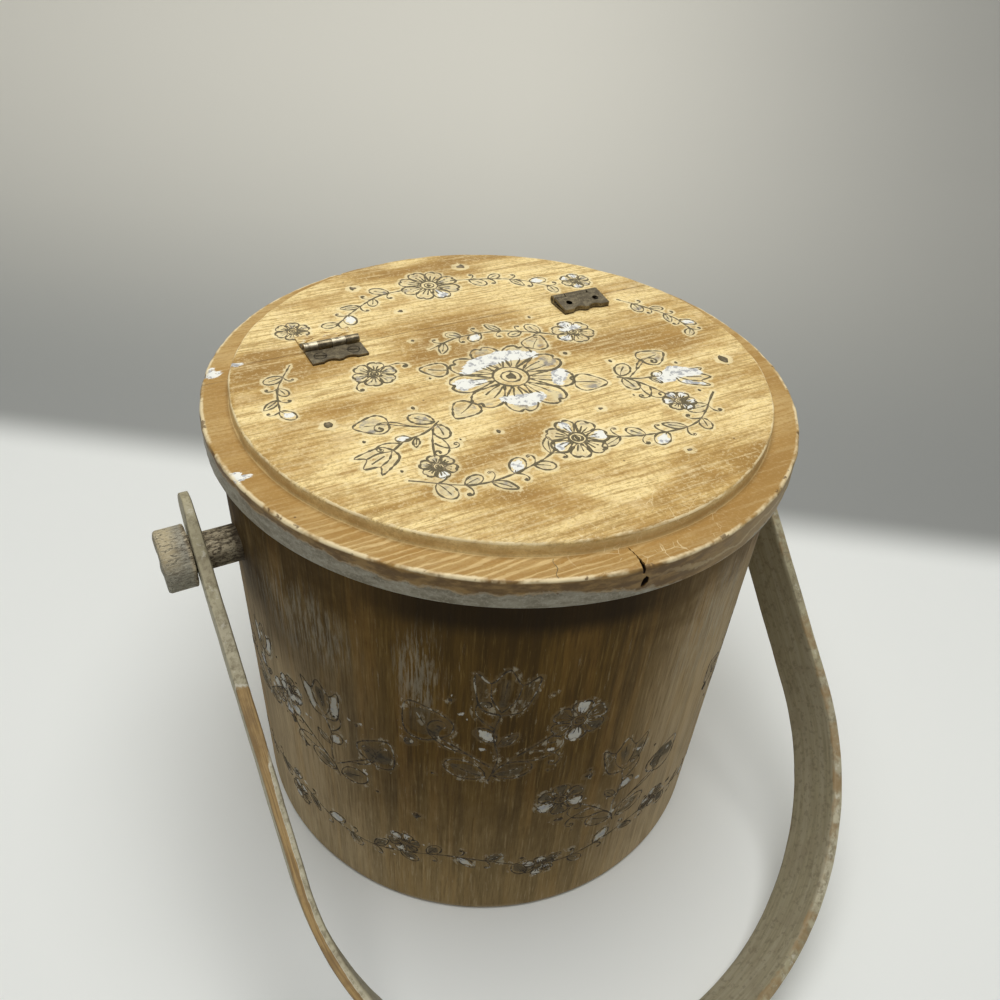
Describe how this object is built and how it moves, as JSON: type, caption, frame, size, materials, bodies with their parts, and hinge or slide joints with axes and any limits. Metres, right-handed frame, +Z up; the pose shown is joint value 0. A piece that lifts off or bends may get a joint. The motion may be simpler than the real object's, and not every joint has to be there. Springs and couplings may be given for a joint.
{
  "type": "lidded wooden firkin",
  "caption": "Straight-sided staved wooden bucket with a hinged raised-panel lid and a swinging bent-strip handle on wooden pegs.",
  "frame": {"origin": "centre of the base, on the surface the firkin stands on", "axes": "+Z up, X along the two pegs and the lid's seam, the lid's flap and the resting handle towards -Y"},
  "size_m": [0.3082, 0.3441, 0.2431],
  "materials": {
    "painted_wall": "worn satin paint over upright grain",
    "bare_board": "bare matt wood",
    "lid_wood": "worn satin varnish",
    "weathered_wood": "weathered matt wood",
    "handle_paint": "worn matt paint",
    "old_brass": "dark worn patina",
    "old_screws": "dark worn patina"
  },
  "bodies": {
    "bucket": {"stave_01": "painted_wall", "stave_02": "painted_wall", "stave_03": "painted_wall", "stave_04": "painted_wall", "stave_05": "painted_wall", "stave_06": "painted_wall", "stave_07": "painted_wall", "stave_08": "painted_wall", "stave_09": "painted_wall", "stave_10": "painted_wall", "stave_11": "painted_wall", "stave_12": "painted_wall", "bottom_board": "bare_board", "lid_back": "lid_wood", "peg_left": "weathered_wood", "peg_right": "weathered_wood", "left_hinge_rear_leaf": "old_brass", "left_hinge_pin": "old_brass", "left_hinge_rear_screws": "old_screws"},
    "bail": {"handle": "handle_paint"},
    "flap": {"lid_flap": "lid_wood", "left_hinge_front_leaf": "old_brass", "left_hinge_front_screws": "old_screws", "right_hinge_lower_leaf": "old_brass", "right_hinge_pin": "old_brass", "right_hinge_screws": "old_screws"},
    "loose_leaf": {"right_hinge_upper_leaf": "old_brass"}
  },
  "joints": [
    {"name": "handle_swing", "type": "hinge", "parent": "bucket", "child": "bail", "pos_m": [0, 0, 0.1817], "axis": [-1, 0, 0], "range_deg": [0, 258.6]},
    {"name": "flap_hinge", "type": "hinge", "parent": "bucket", "child": "flap", "pos_m": [0, 0.042, 0.2409], "axis": [-1, 0, 0], "range_deg": [0, 175]},
    {"name": "loose_leaf_hinge", "type": "hinge", "parent": "flap", "child": "loose_leaf", "pos_m": [0.0618, 0.042, 0.2409], "axis": [-1, 0, 0], "range_deg": [0, 186]}
  ]
}
